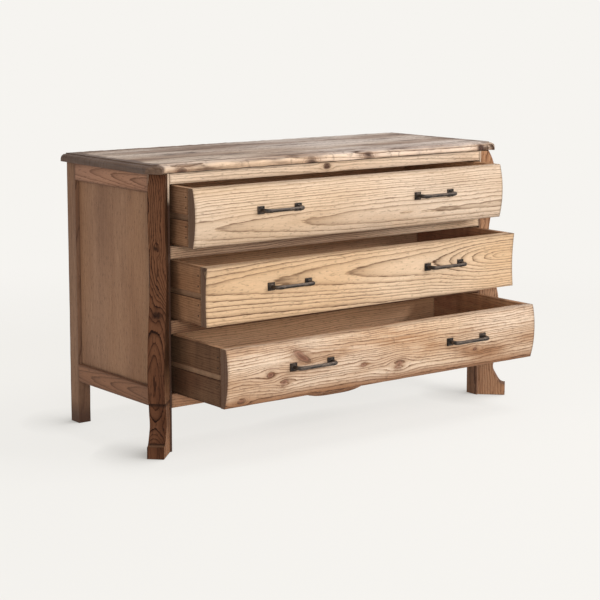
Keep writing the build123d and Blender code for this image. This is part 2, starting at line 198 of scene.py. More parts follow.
# %% [markdown]
# ## Floor and room
# The floor is a disc and the room one pale colour. Both look the same where they are seen directly or
# in a reflection, and the floor fades out with distance, so no horizon line shows. The floor's paint
# takes the shadows of the lamps. A real chest also has a dark patch where each foot meets the floor:
# the Ambient Occlusion node finds it, by looking from the floor towards the key lamp for wood nearby.

# %% Lay the floor
BACKGROUND = tone(246, 244, 240)
FOOT_SHADE = tone(112, 109, 104)
FOOT_SHADE_REACH = 0.165
FADE = (1.3, 3.2)


def looked_at(tree):
    """1 for rays that show the room directly, in a reflection or through glass."""
    path = tree.nodes.new("ShaderNodeLightPath")
    kinds = ("Is Camera Ray", "Is Glossy Ray", "Is Transmission Ray")
    direct, mirrored, through = (Wire(tree, path.outputs[kind]) for kind in kinds)
    return direct.math("MAXIMUM", mirrored).math("MAXIMUM", through)


bpy.ops.object.select_all(action="DESELECT")
bpy.ops.mesh.primitive_circle_add(vertices=96, radius=9.0, fill_type="NGON", location=(0, 0, 0))
floor = bpy.context.object
floor.name = "floor"
print("floor", tuple(floor.dimensions))

# %% Paint the floor
paint, shader, place, normal = new_material("floor_paint")
shader.inputs["Base Color"].default_value = tone(240, 238, 234)
shader.inputs["Roughness"].default_value = 0.9
shader.inputs["Specular IOR Level"].default_value = 0.0
tree = paint.node_tree
glow = tree.nodes.new("ShaderNodeEmission")
to_key_lamp = place.make("ShaderNodeCombineXYZ", {}, {0: 0.74, 1: -0.57, 2: 0.36})
free = place.make("ShaderNodeAmbientOcclusion", {"samples": 16},
                  {"Normal": to_key_lamp, "Distance": FOOT_SHADE_REACH}, output=1)
plug(free.mix(FOOT_SHADE, BACKGROUND), glow, "Color")

seen = looked_at(tree)
away = place.make("ShaderNodeVectorMath", {"operation": "LENGTH"}, {0: place}, output=1)
shaded = Wire(tree, shader.outputs["BSDF"])
bright = Wire(tree, glow.outputs[0])
clear = Wire(tree, tree.nodes.new("ShaderNodeBsdfTransparent").outputs[0])
pale_floor = seen.make("ShaderNodeMixShader", {}, {0: seen * 0.85, 1: shaded, 2: bright})
faded = seen.make("ShaderNodeMixShader", {}, {0: away.smooth(*FADE), 1: pale_floor, 2: clear})
plug(faded, tree.nodes["Material Output"], "Surface")
floor.data.materials.append(paint)
print("the floor fades between", FADE, "m")

# %% Light the room
ROOM_LIGHT = 0.6

world = bpy.data.worlds.new("room")
world.use_nodes = True
scene.world = world
backdrop = world.node_tree.nodes["Background"]
backdrop.inputs["Color"].default_value = BACKGROUND
plug(ROOM_LIGHT + looked_at(world.node_tree) * (1 - ROOM_LIGHT), backdrop, "Strength")
print("room light", ROOM_LIGHT)

# %% [markdown]
# ## Sawn wood
# A tree is a stack of cones round its heart. A saw cuts flat or curved faces through them, and the
# lines on a board are where the rings come through. Painted lines would have to be fitted to every
# face, so here the rings are made in space: the distance from the heart, measured inside the board,
# is divided by the ring width. Faces, ends and grooves then all show matching figure, and tilting the
# heart against a face gives the pointed arches of a plain-sawn board. First each board needs its own
# directions: along the grain, across it, and into the board from the face that shows.

# %% Measure a board
ALONG_X = (1, 0, 0)
ALONG_Y = (0, 1, 0)
UP = (0, 0, 1)


def reach(node, direction):
    """How far a piece goes along a direction: its lowest and highest value."""
    values = [vertex.co.dot(direction) for vertex in nodes[node].data.vertices]
    return min(values), max(values)


def measure_board(node, directions, place, normal, flatten):
    """Where a point lies along, across and into its board, and how far it faces each way."""
    directions = [Vector(direction).normalized() for direction in directions]
    spots = [place.dot(direction) for direction in directions]
    limits = [reach(node, direction) for direction in directions]
    board = SimpleNamespace()
    board.along = spots[0] - sum(limits[0]) / 2
    board.across = spots[1] - sum(limits[1]) / 2
    board.under = spots[2] - limits[2][0]
    board.into = board.under * flatten
    board.half_long = (limits[0][1] - limits[0][0]) / 2
    board.half_wide = (limits[1][1] - limits[1][0]) / 2
    board.faces_along, board.faces_across, board.faces_into = map(normal.dot, directions)
    return board


print("the top runs in x from and to", reach("top", Vector(ALONG_X)))

# %% [markdown]
# ## Grain
# No tree is a perfect stack of cones. Several noises, all stretched along the grain, make it lean,
# wobble and ripple, and give fibres, streaks, saw marks and flecks. A noise is a random but smooth
# value in space; its scale says how many times it changes in a metre along and across the grain.

# %% Noises of the grain
NOISES = {  # scale along and across the grain, detail, and a shift that keeps them apart
    "wobble": (1.7, 6.0, 2.0, 0),
    "sway": (1.3, 4.0, 1.0, 3),
    "ripple": (14.0, 45.0, 3.0, 7),
    "fibre": (24.0, 340.0, 4.0, 5),
    "streak": (6.0, 150.0, 3.0, 9),
    "cloud": (2.0, 10.0, 4.0, 13),
    "saw": (260.0, 9.0, 2.0, 21),
    "fleck": (60.0, 240.0, 2.0, 25),
}


def noise(along, across, into, scales, detail, seed):
    """Noise stretched along the grain, about -0.5 to 0.5."""
    inputs = {0: along * scales[0] + seed, 1: across * scales[1], 2: into * scales[1]}
    spot = along.make("ShaderNodeCombineXYZ", {}, inputs)
    return along.make("ShaderNodeTexNoise", {}, {"Vector": spot, "Scale": 1.0, "Detail": detail}) - 0.5


def add_noises(board, coarse, seed):
    """Give a board its noises by name; coarse below 1 makes streaks and flecks wider."""
    for name, (often_along, often_across, detail, shift) in NOISES.items():
        if name in ("streak", "fleck"):
            often_across = often_across * coarse
        scales = (often_along, often_across)
        setattr(board, name, noise(board.along, board.across, board.into, scales, detail, seed + shift))
    board.mould = noise(board.across, board.along, board.into, (5.0, 110.0), 3.0, seed + 31)


print(len(NOISES) + 1, "noises for each board")

# %% [markdown]
# ## Knots
# A knot is where a branch grew out: a dark core in a harder heart, a dark rim, and round it the rings
# of the trunk pushed aside. It could be painted as a spot, but then the lines would run straight
# through it. So each knot also bends the rings near it, which is what makes it look grown.


# %% Bend the rings round knots
def knot_marks(board, height, knots):
    """Push the rings aside round each knot, and mask its heart, rim and halo.
    A knot has its place along and across, radius, how long it is for its width, and turn."""
    masks = {}
    for knot_along, knot_across, radius, longer, turn in knots:
        aside = board.along - knot_along
        above = board.across - knot_across
        near = (aside * aside * 0.16 + above * above).math("SQRT")
        push = near.smooth(radius * 5.0, 0.0) * (above / (near + radius * 0.6))
        height = height - push * radius * 2.2
        cosine, sine = math.cos(math.radians(turn)), math.sin(math.radians(turn))
        length = (aside * cosine + above * sine) * (1 / longer)
        width = above * cosine - aside * sine
        close = (length * length + width * width).math("SQRT") + board.ripple * radius * 2.2
        turns = (close / (radius * 0.42)).math("FRACT").smooth(0.5, 0.95)
        found = {
            "heart": close.smooth(radius * 1.3, radius * 0.5),
            "core": close.smooth(radius * 0.55, radius * 0.05),
            "rim": close.smooth(radius * 0.7, radius * 0.95) * close.smooth(radius * 1.5, radius * 0.95),
            "curl": turns * close.smooth(radius * 2.6, radius * 0.8),
            "halo": close.smooth(radius * 3.4, radius * 0.6),
        }
        for key, mask in found.items():
            masks[key] = masks[key].math("MAXIMUM", mask) if key in masks else mask
    return height, masks


print("knots ready")

# %% [markdown]
# ## Rings
# Each year adds one ring: pale wood in spring, which darkens and ends in a sharp line. The whole part
# of distance over ring width counts the years, and the rest says how far through its year a point is.
# Every year gets its own strength, because no two summers are the same.

# %% Grow the rings
USUAL = {  # what a board has unless its own figure says otherwise
    "drift": 0.0, "tilt": 0.0, "wobble": 0.02, "ripple": 0.006, "sway": 0.012, "flatten": 1.0,
    "coarse": 1.0, "stain": 0.3, "low_stain": 0.0, "contrast": 0.9, "few": 0.12, "streaks": 0.35,
    "tint": 0.5, "flecks": 0.35, "knotty": 0.75, "gap": 0.006, "grime": 0.4, "fibre": 0.4, "saw": 0.1,
    "sheen": 0.3,
}


def grow_rings(board, figure, knots, seed):
    """How far through its year a point is, how dark its late wood is, and the knots' masks."""
    height = board.across - figure["height"] - board.along * figure["drift"]
    height = height + board.wobble * figure["wobble"] + board.ripple * figure["ripple"]
    depth = board.into + figure["depth"] + board.along * figure["tilt"] + board.sway * figure["sway"]
    if "climb" in figure:
        start, end, rise = figure["climb"]
        depth = depth - board.along.smooth(start, end) * rise
    if "aside" in figure:
        start, end, shift = figure["aside"]
        height = height - board.along.smooth(start, end) * shift
    height, masks = knot_marks(board, height, knots)

    distance = (height * height + depth * depth).math("SQRT")
    pace = noise(distance, distance, distance, (40.0, 0.0), 1.0, seed + 11)
    rings = distance / figure["ring"] + pace * 2.4 + board.fibre * 0.3
    count = rings.math("FLOOR")
    year = count.make("ShaderNodeTexWhiteNoise", {"noise_dimensions": "1D"}, {"W": count + seed})
    through = rings - count
    late = through.smooth(0.45, 0.92) * 0.45 + through.smooth(0.78, 0.93) * 0.75
    late = late * through.smooth(1.0, 0.95) * (0.5 + year * 0.65) * (0.85 + board.streak * 1.6)
    return through, late, masks


print(len(USUAL), "usual values of a board's figure")

# %% [markdown]
# ## Colour of the wood
# The colour is laid on as on the real boards: sound wood first, then stains, the dark lines of the
# rings, streaks that the wire brush left open, small flecks and the knots. Every layer is one Mix node
# whose factor is a mask. A photograph of wood would be quicker, but its lines would not carry on from
# a face into its end.

# %% Colour of sound wood
YELLOWED = tone(250, 236, 212)


def paint_rings(board, figure, colours, through, late):
    """Pale wood, stains, ring lines, streaks and flecks."""
    pale = board.cloud.smooth(-0.2, 0.2).mix(colours["pale"], colours["warm"])
    body = through.math("POWER", 3.0).mix(pale, colours["body"])
    stained = (board.cloud + board.wobble * 0.6 - board.across * figure["low_stain"]).smooth(0.0, 0.24)
    stained = stained * figure["stain"]
    if "low_band" in figure:
        low = (board.across + board.cloud * 0.02 + board.half_wide).smooth(figure["low_band"], 0.003)
        stained = stained.math("MAXIMUM", low * 0.85)
    body = stained.mix(body, colours["stain"])
    colour = (late * figure["contrast"]).mix(body, colours["dark"])
    few = figure["few"]
    colour = (board.streak.smooth(few, few + 0.2) * figure["streaks"]).mix(colour, colours["dark"])
    if "brushed" in figure:
        bright = (board.streak * -1 + board.across * 1.2).smooth(0.06, 0.24) * figure["brushed"]
        colour = bright.mix(colour, colours["pale"])
    yellowed = board.sway.smooth(-0.12, 0.16) * figure["tint"]
    colour = yellowed.mix(colour, YELLOWED, "MULTIPLY")
    return (board.fleck.smooth(0.05, 0.22) * figure["flecks"]).mix(colour, colours["dark"])


def paint_knots(board, figure, colours, masks, colour):
    """Halo, heart, growth lines, core and rim of the knots, one over the other."""
    colour = (masks["halo"] * 0.4).mix(colour, colours["stain"])
    solid = figure["knotty"] + board.streak + board.cloud
    colour = (masks["heart"] * solid).mix(colour, colours.get("knot", colours["heart"]))
    colour = (masks["curl"] * (0.4 + board.streak)).mix(colour, colours["dark"])
    colour = (masks["core"] * 0.55).mix(colour, colours["dark"])
    return (masks["rim"] * (0.35 + board.streak * 2.0 + board.cloud * 1.5)).mix(colour, colours["dark"])


print("yellowed wood is multiplied by", YELLOWED)

# %% [markdown]
# ## Age
# Old boards are dirty along their edges, and the dark band there also stands for painted shade in the
# gaps between boards. End grain drinks stain, so it is dark. Some boards have more: a groove shows raw
# wood with painted shade on its lower wall, a painted shadow lies under the ledge of the corner boards,
# the left corner board has painted shade on its inner side, and an outside is darker than the inside,
# stained on the corner boards and as painted shade on the drawer sides.
# Which way a surface faces tells ends, grooves and outsides apart, so no face is picked by hand.


# %% Colour of old wood
def paint_ends(board, figure, colours, colour):
    """Dirt and painted gap shade along the edges, and dark end grain; also gives the mask of the ends."""
    to_side = board.half_wide - board.across.math("ABSOLUTE")
    to_end = board.half_long - board.along.math("ABSOLUTE")
    gap = figure["gap"]
    # The dark band along the edges is dirt, and also painted shade in the gaps between boards.
    grime = (to_side.math("MINIMUM", to_end) + board.cloud * 0.01).smooth(gap + 0.003, gap - 0.006)
    colour = (grime * figure["grime"]).mix(colour, colours["dark"])
    end = board.faces_along.math("ABSOLUTE").smooth(0.6, 0.8)
    if "end_band" in figure:
        band = figure["end_band"]
        outer = board.along.math("ABSOLUTE") + board.cloud * 0.05 + board.ripple * 0.02 - board.half_long
        outer = outer.smooth(-band, 0.015 - band)
        end = end.math("MAXIMUM", outer * (1 - board.along.smooth(-0.1, 0.1) * 0.55))
    end_grain = board.mould.smooth(-0.1, 0.22).mix(colours["end"], colours["heart"])
    return (end * 0.95).mix(colour, end_grain), end


def paint_faces(board, figure, colours, colour):
    """Where a board has them: raw grooves with painted shade on their lower wall, painted shade on an
    inner side, a painted shadow under a ledge, and a darker outside, stained on the corner boards
    and painted shade on the drawer sides.
    """
    if "raw" in colours:
        floor_of_groove = board.under.smooth(0.004, 0.006) * board.faces_into.smooth(-0.8, -0.9)
        colour = (floor_of_groove * 0.75).mix(colour, colours["raw"])
        # The upward-facing lower wall of the groove is darkened as painted shade.
        groove_wall_painted_shade = board.faces_across.smooth(0.7, 0.9) * (board.half_wide - board.across).smooth(0.005, 0.02)
        colour = (groove_wall_painted_shade * 0.9).mix(colour, colours["heart"])
    # Painted shade on the inner side of the left corner board, where the open drawers block the light;
    # weaker lower down.
    if "edge" in colours:
        shaded = board.faces_across.smooth(-0.4, -0.8) * (0.36 + board.along.smooth(-0.2, -0.12) * 0.54)
        colour = shaded.mix(colour, colours["edge"], "MULTIPLY")
    # A thin band just under the ledge is darkened as a painted shadow.
    if "ledge" in figure:
        ledge = figure["ledge"]
        ledge_painted_shadow = board.along.smooth(ledge - 0.014, ledge - 0.004) * board.along.smooth(ledge + 0.001, ledge)
        colour = (ledge_painted_shadow * 0.7).mix(colour, colours["heart"])
    # The outside is made darker: stain on the corner boards, painted shade on the drawer sides.
    if "face" in colours:
        outside = board.faces_into.smooth(-0.35, -0.7)
        if "raw" in colours:
            outside = outside * board.under.smooth(0.006, 0.004)
        colour = (outside * 0.9).mix(colour, colours["face"], "MULTIPLY")
    return colour


print("ends and faces ready")


# %% Put the wood together
def wood(node, directions, figure, colours, knots=(), seed=0.0):
    """Wood of one board. directions point along, across and into the board from its show
    face, figure says how the rings lie, colours gives the tones."""
    figure = {**USUAL, **figure}
    material, shader, place, normal = new_material(node + "_wood")
    board = measure_board(node, directions, place, normal, figure["flatten"])
    add_noises(board, figure["coarse"], seed)
    through, late, masks = grow_rings(board, figure, knots, seed)

    if "turns_to" in figure:
        axis, start, end, others = figure["turns_to"]
        spot = board.along if axis == "along" else board.across
        turned = (spot + board.cloud * 0.03 + board.ripple * 0.01).smooth(start, end)
        colours = {key: turned.mix(colours[key], others[key]) for key in others}
    colour = paint_rings(board, figure, colours, through, late)
    if masks:
        colour = paint_knots(board, figure, colours, masks, colour)
    colour, end = paint_ends(board, figure, colours, colour)
    colour = paint_faces(board, figure, colours, colour)
    light = 1.0 + (1 - end * 0.85) * (board.fibre * figure["fibre"] + board.saw * figure["saw"])
    if "bands" in figure:
        band = noise(board.along, board.across, board.into, (34.0, 5.0), 2.0, seed + 37)
        light = light + band * figure["bands"]
    grey = light.make("ShaderNodeCombineXYZ", {}, {0: light, 1: light, 2: light})
    lit = light.make("ShaderNodeVectorMath", {"operation": "MULTIPLY"}, {0: colour, 1: grey})
    plug(lit, shader, "Base Color")

    plug(0.64 + late * 0.1 - board.fibre * 0.25, shader, "Roughness")
    shader.inputs["Specular IOR Level"].default_value = figure["sheen"]
    open_grain = board.streak.smooth(0.12, 0.32) * 0.5
    relief = (late * 0.7 + board.fibre * 0.6 + board.saw * 0.1 - open_grain) * (1 - end * 0.95)
    bump = relief.make("ShaderNodeBump", {}, {"Height": relief, "Distance": 0.0009, "Strength": 0.5})
    plug(bump, shader, "Normal")
    return material


def dress(node, material):
    """Give a CAD piece its finish."""
    data = nodes[node].data
    data.materials.clear()
    data.materials.append(material)


print("wood ready")

# %% [markdown]
# ## Drawer fronts
# The three fronts are the show wood: pale, wire-brushed and plain-sawn. On the top drawer the heart
# lies low and nearly level, so the lines run almost straight with two arches near the lower edge. On
# the middle drawer the heart climbs to the face at the right end, which draws nested arches that end
# in rings. The bottom drawer comes from a knotty, pinker log, stained along its lower edge.

# %% Tones and figure of the fronts
BRUSHED = {"pale": tone(221, 198, 175), "warm": tone(208, 182, 156), "body": tone(204, 175, 146),
           "dark": tone(92, 66, 47), "stain": tone(178, 143, 108), "heart": tone(80, 50, 36),
           "end": tone(96, 71, 54)}
GOLDEN = {**BRUSHED, "pale": tone(222, 194, 164), "warm": tone(211, 179, 145), "body": tone(203, 169, 134)}
KNOTTY = {"pale": tone(223, 200, 177), "warm": tone(178, 138, 103), "body": tone(162, 120, 86),
          "dark": tone(76, 49, 34), "stain": tone(140, 94, 59), "heart": tone(80, 50, 36),
          "knot": tone(134, 88, 68), "end": tone(94, 69, 52)}

LEVEL = {"height": -0.042, "depth": 0.0385, "tilt": -0.03, "ring": 0.0070, "wobble": 0.022,
         "sway": 0.003, "climb": (-0.2, 0.9, -0.02), "stain": 0.2, "contrast": 0.7}
ARCHED = {"height": 0.016, "depth": 0.046, "tilt": -0.03, "ring": 0.0078, "wobble": 0.016,
          "climb": (0.22, 0.62, 0.044), "stain": 0.15, "sway": 0.004, "contrast": 1.0}
BRANCHY = {"height": -0.15, "depth": 0.05, "ring": 0.0072, "wobble": 0.034, "ripple": 0.012,
           "contrast": 0.85, "stain": 1.0, "saw": 0.25, "flecks": 0.3, "coarse": 0.6,
           "low_stain": 2.2, "low_band": 0.034, "brushed": 0.6, "streaks": 0.3}
BRANCHES = ((-0.318, 0.034, 0.009, 3.4, -34.0), (-0.424, -0.002, 0.008, 1.2, 0.0),
            (-0.376, -0.030, 0.008, 1.4, 20.0), (0.030, -0.035, 0.010, 1.4, 10.0),
            (0.321, -0.025, 0.005, 1.5, 0.0), (-0.101, -0.016, 0.005, 2.0, 0.0),
            (-0.512, -0.064, 0.007, 2.0, 10.0))
print(len(BRANCHES), "knots on the bottom drawer")

# %% Finish the fronts
FRONT = (ALONG_X, UP, ALONG_Y)
FRONT_SEED = 3.0
FRONT_SEED_STEP = 17

fronts = {
    "drawer_1_front": (LEVEL, BRUSHED, ()),
    "drawer_2_front": (ARCHED, GOLDEN, ()),
    "drawer_3_front": (BRANCHY, KNOTTY, BRANCHES),
}
for index, (node, (figure, colours, knots)) in enumerate(fronts.items()):
    seed = FRONT_SEED + FRONT_SEED_STEP * index
    dress(node, wood(node, FRONT, figure, colours, knots, seed))
print(len(fronts), "drawer fronts finished")

# %% [markdown]
# ## Frame, sides and boxes
# The rail under the top is the same pale wood as the fronts. The two lower rails are painted darker,
# as painted shade under the open drawers, and the upper of the two turns pale towards its right end,
# as painted light where the lamps reach it. The sides and posts were stained walnut brown, the left
# corner board darker still, and the left front post is painted darker again, as painted shade beside
# the drawers. The drawer boxes are a lighter, plainer wood; the outsides of their sides are darkened as
# painted shade. The top has weathered grey, but its moulded front edge is rubbed back to pale wood. All
# of them use the same maker, with other tones, ring widths and directions. Where one board turns from
# one tone to another, as the drawer sides darken towards the back with painted shade, a soft step
# blends two sets of tones.

# %% Tones of the frame
PALE = {**BRUSHED, "pale": tone(236, 212, 187), "warm": tone(226, 199, 173), "body": tone(220, 192, 163)}
# The two lower rails are painted darker, as painted shade under the open drawers.
RAIL = {**PALE, "pale": tone(202, 171, 143), "warm": tone(174, 140, 113), "body": tone(168, 134, 106),
        "dark": tone(74, 48, 35)}
RAIL_IN_DEEPER_PAINTED_SHADE = {**RAIL, "pale": tone(164, 128, 100), "warm": tone(140, 105, 80), "body": tone(134, 100, 75)}
WALNUT = {"pale": tone(152, 116, 90), "warm": tone(132, 98, 75), "body": tone(128, 94, 71),
          "dark": tone(76, 50, 36), "stain": tone(108, 75, 56), "heart": tone(58, 36, 26),
          "end": tone(76, 53, 40)}
APRON = {**WALNUT, "pale": tone(182, 143, 114), "warm": tone(160, 120, 93), "body": tone(154, 115, 88)}
PANEL = {**WALNUT, "pale": tone(170, 132, 104), "warm": tone(148, 110, 84), "body": tone(142, 105, 79)}
RUSSET = {**WALNUT, "pale": tone(150, 106, 78), "warm": tone(129, 89, 64), "body": tone(125, 85, 61)}
STREAKED = {**PANEL, "pale": tone(188, 143, 117), "warm": tone(152, 109, 86), "body": tone(144, 103, 80)}
SOOTY = {**WALNUT, "pale": tone(92, 64, 48), "warm": tone(78, 52, 38), "body": tone(74, 49, 36)}
# The left front post is painted darker, as painted shade beside the open drawers.
SHADED = {**WALNUT, "pale": tone(74, 51, 39), "warm": tone(64, 43, 32), "body": tone(60, 41, 31),
          "stain": tone(50, 33, 25)}
print("walnut brown is", WALNUT["body"])

# %% Tones of the top, the corner boards and the boxes
WEATHERED = {"pale": tone(208, 194, 185), "warm": tone(166, 145, 132), "body": tone(150, 128, 113),
             "dark": tone(66, 45, 33), "stain": tone(120, 94, 76), "heart": tone(72, 50, 38),
             "end": tone(92, 71, 59)}
OLD_EDGE = {**BRUSHED, "pale": tone(237, 213, 192), "warm": tone(232, 204, 178), "body": tone(220, 190, 160),
            "stain": tone(150, 108, 76), "dark": tone(84, 54, 38), "heart": tone(62, 38, 27)}
SMOKED = {"pale": tone(226, 178, 138), "warm": tone(184, 132, 96), "body": tone(174, 122, 85),
          "dark": tone(70, 42, 28), "stain": tone(112, 72, 50), "heart": tone(56, 33, 22),
          "end": tone(112, 82, 62), "face": tone(98, 71, 59)}
# The left corner board also gets painted shade on its inner side, towards the drawers.
SMOKED_WITH_PAINTED_SHADE = {**SMOKED, "edge": tone(92, 80, 74)}
TAN = {**SMOKED, "pale": tone(167, 130, 102), "warm": tone(146, 108, 82), "body": tone(140, 102, 76),
       "dark": tone(92, 60, 42), "face": tone(196, 178, 166)}
HONEY = {**TAN, "pale": tone(212, 168, 134), "warm": tone(188, 142, 110), "body": tone(180, 134, 102)}
BOXWOOD = {"pale": tone(206, 166, 132), "warm": tone(186, 144, 112), "body": tone(180, 138, 104),
           "dark": tone(96, 64, 44), "stain": tone(154, 105, 80), "heart": tone(64, 38, 26),
           "end": tone(92, 67, 50)}
INSIDE = {**BOXWOOD, "pale": tone(228, 188, 152), "warm": tone(210, 168, 132), "body": tone(204, 160, 124)}
# Drawer sides: face darkens their outside as painted shade; raw is the raw wood of the groove.
DRAWER_SIDE = {**BOXWOOD, "face": tone(178, 166, 159), "raw": tone(126, 98, 78)}
# Their back part, near the posts, is darker again as painted shade.
SIDE_REAR_PAINTED_SHADE = {**DRAWER_SIDE, "face": tone(84, 68, 58), "raw": tone(70, 48, 34)}
# The bottom drawer's sides have a darker outside still, as painted shade under the drawer above.
LOW_SIDE = {**DRAWER_SIDE, "face": tone(110, 97, 90), "raw": tone(146, 118, 95)}
BOTTOM_SIDE_REAR_PAINTED_SHADE = {**LOW_SIDE, "face": tone(46, 36, 31), "raw": tone(92, 68, 50)}
print("the weathered top is", WEATHERED["body"])

# %% Figure of the other boards
STRAIGHT = {"height": -0.25, "depth": 0.06, "ring": 0.006, "wobble": 0.03, "drift": 0.02}
# front_rail_1 turns pale towards its right end, as painted light where the lamps reach it.
PAINTED_LIGHT_TO_RIGHT = {**STRAIGHT, "turns_to": ("along", 0.05, 0.4, PALE)}
PALE_HEAD = {**STRAIGHT, "turns_to": ("along", 0.294, 0.325, PALE)}
DARK_FOOT = {**STRAIGHT, "turns_to": ("along", -0.31, -0.37, SOOTY)}
FINE = {"height": -0.3, "depth": 0.05, "ring": 0.0045, "wobble": 0.03, "contrast": 0.5, "drift": 0.01,
        "streaks": 0.5, "flecks": 0.45}
# FRAMED widens that band round the panel: painted shade in the recess round it, and dirt.
FRAMED = {**FINE, "gap": 0.012, "grime": 0.85, "contrast": 0.7, "streaks": 0.62}
FLAT = {"height": 0.0, "depth": 0.03, "ring": 0.006, "tilt": 0.05, "wobble": 0.04, "contrast": 0.55,
        "flecks": 0.5}
PLAIN = {"height": -0.02, "depth": 0.03, "ring": 0.006, "tilt": 0.015, "wobble": 0.03, "contrast": 0.6,
         "knotty": 0.95}
# ledge places a painted shadow just under the corner board's ledge.
EYED = {"height": 0.004, "depth": 0.016, "ring": 0.0046, "wobble": 0.024, "ripple": 0.016, "stain": 1.0,
        "flatten": 0.68, "sway": 0.03, "streaks": 0.7, "flecks": 0.5, "contrast": 1.1, "grime": 0.0,
        "ledge": -0.2365, "sheen": 0.1, "aside": (-0.08, 0.16, 0.05)}
QUIET_EYED = {**EYED, "contrast": 0.65, "streaks": 0.4, "stain": 0.7,
              "turns_to": ("along", -0.22, -0.16, HONEY)}
BOX = {**STRAIGHT, "contrast": 0.5}
BOX_SIDE = {**BOX, "contrast": 0.4, "bands": 0.8, "coarse": 0.5, "stain": 0.8, "streaks": 0.6,
            "sheen": 0.12}
OLD_TOP = {**STRAIGHT, "ring": 0.02, "wobble": 0.07, "streaks": 0.9, "stain": 0.9, "flecks": 0.4,
           "end_band": 0.062, "coarse": 0.22, "sway": 0.05, "few": 0.03, "knotty": 1.05,
           "turns_to": ("across", -0.213, -0.229, OLD_EDGE)}
# Where each drawer side turns to its painted-shade tones, towards the back.
PAINTED_SHADE_STEP = {"1": (-0.165, -0.125), "2": (-0.125, -0.062), "3": (-0.07, 0.025)}

TOP_KNOTS = ((-0.53, -0.236, 0.010, 1.6, 0.0), (-0.086, -0.236, 0.013, 1.5, 10.0),
             (0.124, -0.236, 0.013, 1.3, 0.0), (-0.33, 0.03, 0.012, 2.0, 0.0),
             (0.575, -0.232, 0.013, 1.2, 0.0))
RAIL_KNOTS = ((-0.03, 0.002, 0.007, 1.6, 0.0),)
CORNER_KNOTS = ((0.184, 0.002, 0.004, 1.6, 60.0), (0.003, 0.0, 0.008, 1.4, 80.0))
print(len(TOP_KNOTS) + len(RAIL_KNOTS) + len(CORNER_KNOTS), "knots on the other boards")

# %% Say how each board lies
BACK = (ALONG_X, UP, (0, -1, 0))
LYING = (ALONG_X, ALONG_Y, (0, 0, -1))

boards = {  # directions, figure, tones and knots
    "top": (LYING, OLD_TOP, WEATHERED, TOP_KNOTS),
    "front_top_rail": (FRONT, PLAIN, PALE, RAIL_KNOTS),
    "front_rail_1": (FRONT, PAINTED_LIGHT_TO_RIGHT, RAIL),
    "front_rail_2": (FRONT, STRAIGHT, RAIL_IN_DEEPER_PAINTED_SHADE),
    "apron": (FRONT, FLAT, APRON),
    "back_top_rail": (BACK, STRAIGHT, BOXWOOD),
    "back_low_rail": (BACK, STRAIGHT, BOXWOOD),
    "back_panel": ((UP, ALONG_X, (0, -1, 0)), FINE, BOXWOOD),
}
for hand, inward in (("left", 1), ("right", -1)):
    side = (ALONG_Y, UP, (inward, 0, 0))
    upright = (UP, ALONG_Y, (inward, 0, 0))
    diagonal = (UP, (-inward, 1, 0), (inward, 1, 0))
    corner = (EYED, SMOKED_WITH_PAINTED_SHADE, CORNER_KNOTS) if hand == "left" else (QUIET_EYED, TAN)
    post_tones = SHADED if hand == "left" else WALNUT
    boards["front_post_" + hand] = ((UP, ALONG_X, ALONG_Y), PALE_HEAD, post_tones)
    boards["rear_post_" + hand] = (upright, DARK_FOOT, WALNUT)
    boards["pilaster_" + hand] = (diagonal, *corner)
    boards["side_top_rail_" + hand] = (side, FLAT, STREAKED)
    boards["side_low_rail_" + hand] = (side, FLAT, RUSSET)
    boards["side_panel_" + hand] = (upright, FRAMED, PANEL)
    boards["cleat_" + hand] = (side, FINE, BOXWOOD)
    for number in "123":
        boards["runner_" + number + "_" + hand] = ((ALONG_Y, UP, (-inward, 0, 0)), FINE, BOXWOOD)
        tones, rear_painted_shade = (LOW_SIDE, BOTTOM_SIDE_REAR_PAINTED_SHADE) if number == "3" else (DRAWER_SIDE, SIDE_REAR_PAINTED_SHADE)
        figure = {**BOX_SIDE, "turns_to": ("along", *PAINTED_SHADE_STEP[number], rear_painted_shade)}
        boards["drawer_" + number + "_side_" + hand] = (side, figure, tones)
for number in "123":
    boards["drawer_" + number + "_back"] = (FRONT, BOX, INSIDE)
    boards["drawer_" + number + "_bottom"] = (LYING, FINE, INSIDE)
print(len(boards), "boards to finish")

# %% Finish the other boards
BOARD_SEED = 41.0
BOARD_SEED_STEP = 5.3

for index, (node, (directions, figure, colours, *knots)) in enumerate(boards.items()):
    knots = knots[0] if knots else ()
    seed = BOARD_SEED + BOARD_SEED_STEP * index
    dress(node, wood(node, directions, figure, colours, knots, seed))
print(len(boards), "boards finished")

# %% [markdown]
# ## Iron
# The pulls and their square plates are blackened iron: nearly black, with a brown bloom, and lighter
# on the upper front of every bar and rim, partly where hands have rubbed the finish and partly as a
# painted highlight. That mask reads which way the surface faces on the object itself, so it stays put
# when the chest is seen from elsewhere.
# The hidden screws are plain steel, made by the same recipe with other tones.

# %% Iron and steel
RUBBED_AND_LIT_DIRECTION = Vector((0, -1, 1)).normalized()


def iron(name, dark, worn, rough):
    """Pitted iron, worn tone in its bloom and on its upper front (hand wear and a painted highlight)."""
    material, shader, place, normal = new_material(name)
    pits = place.make("ShaderNodeTexNoise", {}, {"Vector": place, "Scale": 420.0, "Detail": 3.0})
    bloom = place.make("ShaderNodeTexNoise", {}, {"Vector": place, "Scale": 60.0, "Detail": 2.0})
    # Upper-front faces are lighter: hand wear, and a painted highlight.
    rubbed = normal.dot(RUBBED_AND_LIT_DIRECTION).smooth(0.78, 0.97) * 0.8
    plug(bloom.smooth(0.42, 0.68).math("MAXIMUM", rubbed).mix(dark, worn), shader, "Base Color")
    plug(rough + pits * 0.3, shader, "Roughness")
    shader.inputs["Metallic"].default_value = 0.85
    bump = pits.make("ShaderNodeBump", {}, {"Height": pits, "Distance": 0.0004, "Strength": 0.5})
    plug(bump, shader, "Normal")
    return material


